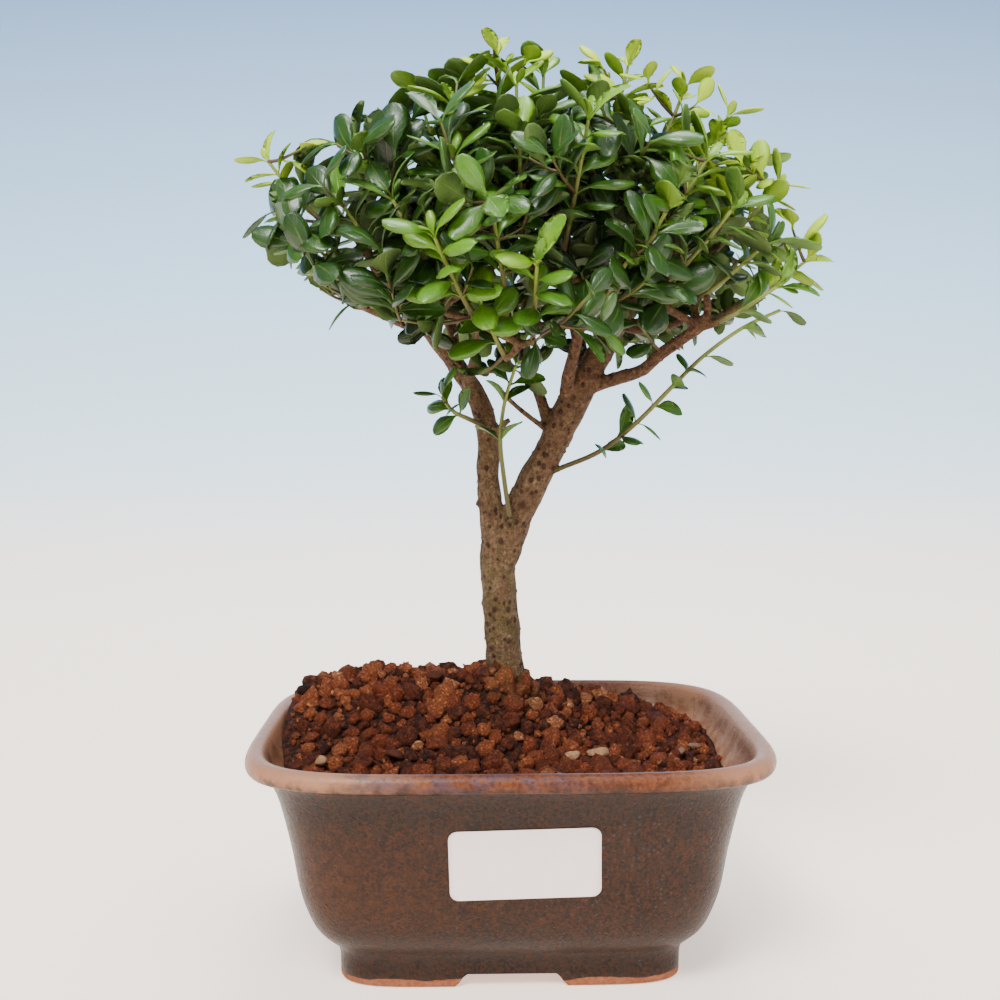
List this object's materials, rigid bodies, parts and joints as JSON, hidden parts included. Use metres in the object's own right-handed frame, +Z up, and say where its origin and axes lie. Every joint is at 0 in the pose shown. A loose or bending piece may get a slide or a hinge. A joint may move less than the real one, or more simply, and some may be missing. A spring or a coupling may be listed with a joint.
{
  "type": "japanese holly bonsai",
  "caption": "Small indoor broadleaf bonsai with a forked trunk and dense rounded crown, growing in grainy soil in a glazed ceramic pot on four feet, with a blank label.",
  "frame": {"origin": "under the middle of the whole object's bounding box, on the plane of the pot's feet", "axes": "+X along the pot's long side, to the right seen from the front; +Y to the back; +Z up"},
  "size_m": [0.1694, 0.1278, 0.2632],
  "materials": {
    "glaze": "satin",
    "soil": "matte",
    "bark": "matte",
    "leaf": "satin",
    "young_leaf": "satin",
    "label": "satin",
    "screen": "matte"
  },
  "bodies": {
    "root": {"pot": "glaze", "soil": "soil", "wood": "bark", "label": "label", "screen_1": "screen", "screen_2": "screen", "mature_shoot_1": "leaf", "mature_shoot_2": "leaf", "mature_shoot_3": "leaf", "mature_shoot_4": "leaf", "mature_shoot_5": "leaf", "mature_shoot_6": "leaf", "mature_shoot_7": "leaf", "mature_shoot_8": "leaf", "mature_shoot_9": "leaf", "mature_shoot_10": "leaf", "mature_shoot_11": "leaf", "mature_shoot_12": "leaf", "mature_shoot_13": "leaf", "mature_shoot_14": "leaf", "mature_shoot_15": "leaf", "mature_shoot_16": "leaf", "mature_shoot_17": "leaf", "mature_shoot_18": "leaf", "mature_shoot_19": "leaf", "mature_shoot_20": "leaf", "mature_shoot_21": "leaf", "mature_shoot_22": "leaf", "mature_shoot_23": "leaf", "mature_shoot_24": "leaf", "mature_shoot_25": "leaf", "mature_shoot_26": "leaf", "mature_shoot_27": "leaf", "mature_shoot_28": "leaf", "mature_shoot_29": "leaf", "mature_shoot_30": "leaf", "mature_shoot_31": "leaf", "mature_shoot_32": "leaf", "mature_shoot_33": "leaf", "mature_shoot_34": "leaf", "mature_shoot_35": "leaf", "mature_shoot_36": "leaf", "mature_shoot_37": "leaf", "mature_shoot_38": "leaf", "mature_shoot_39": "leaf", "mature_shoot_40": "leaf", "mature_shoot_41": "leaf", "mature_shoot_42": "leaf", "mature_shoot_43": "leaf", "mature_shoot_44": "leaf", "young_shoot_1": "young_leaf", "young_shoot_2": "young_leaf", "young_shoot_3": "young_leaf", "young_shoot_4": "young_leaf", "young_shoot_5": "young_leaf", "young_shoot_6": "young_leaf", "young_shoot_7": "young_leaf", "long_shoot": "leaf", "low_left_shoot": "leaf", "fork_shoot": "leaf"}
  },
  "joints": []
}
